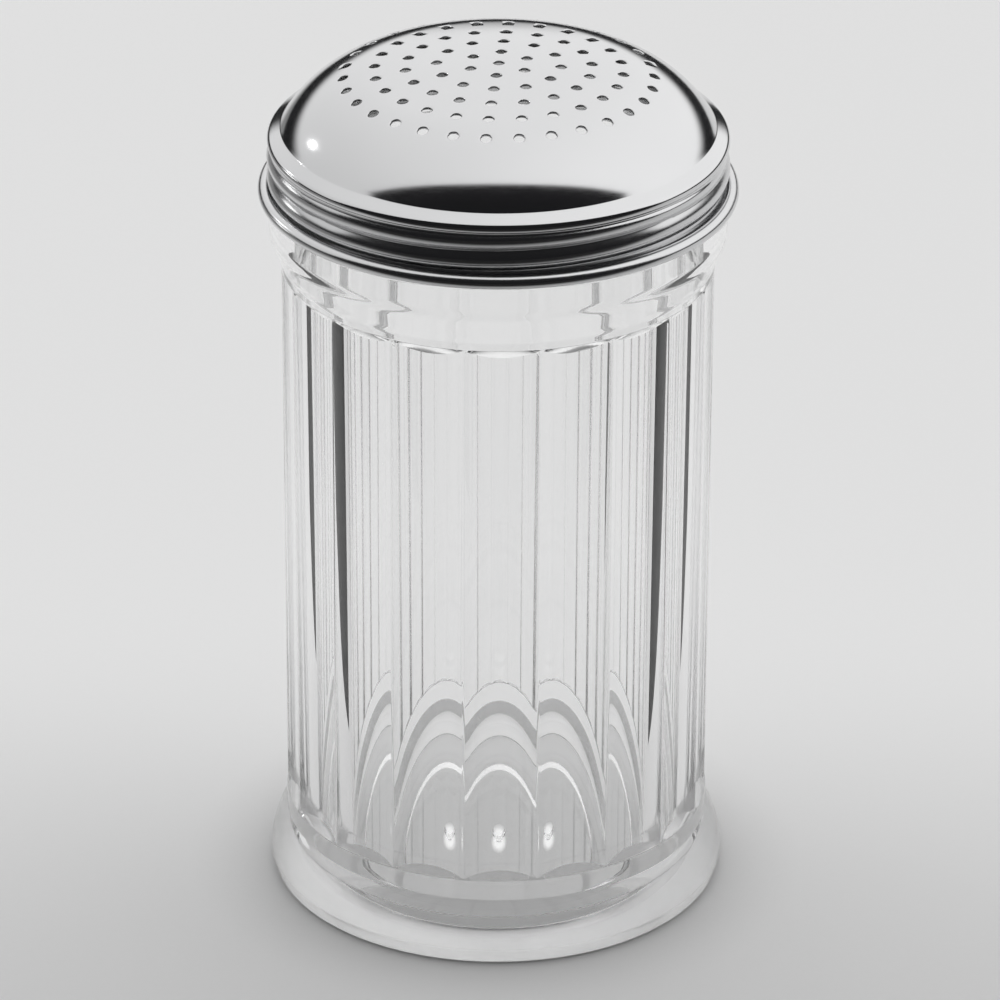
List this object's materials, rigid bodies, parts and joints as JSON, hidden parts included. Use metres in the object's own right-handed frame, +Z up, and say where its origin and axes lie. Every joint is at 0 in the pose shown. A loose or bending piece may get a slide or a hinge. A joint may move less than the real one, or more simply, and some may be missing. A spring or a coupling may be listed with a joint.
{
  "type": "spice shaker",
  "caption": "Clear fluted table shaker for spice or grated cheese, with a perforated domed metal lid that screws off to refill it.",
  "frame": {"origin": "centre of the face that the jar stands on", "axes": "+Z up along the jar's axis; -Y is the front"},
  "size_m": [0.0752, 0.0752, 0.14],
  "materials": {
    "jar": "clear, glossy",
    "lid": "polished",
    "seal": "soft, matte"
  },
  "bodies": {
    "jar": {"jar": "jar"},
    "seal": {"lid_seal": "seal"},
    "lid": {"lid": "lid"}
  },
  "joints": [
    {"name": "lid_rise", "type": "slide", "parent": "jar", "child": "seal", "axis": [0, 0, 1], "range_m": [0, 0.004]},
    {"name": "lid_turn", "type": "hinge", "parent": "seal", "child": "lid", "pos_m": [0, 0, 0.13], "axis": [0, 0, 1], "range_deg": [0, 450]}
  ],
  "couplings": [
    {"joint": "lid_rise", "follows": "lid_turn", "m_per_rad": 0.0005092}
  ]
}
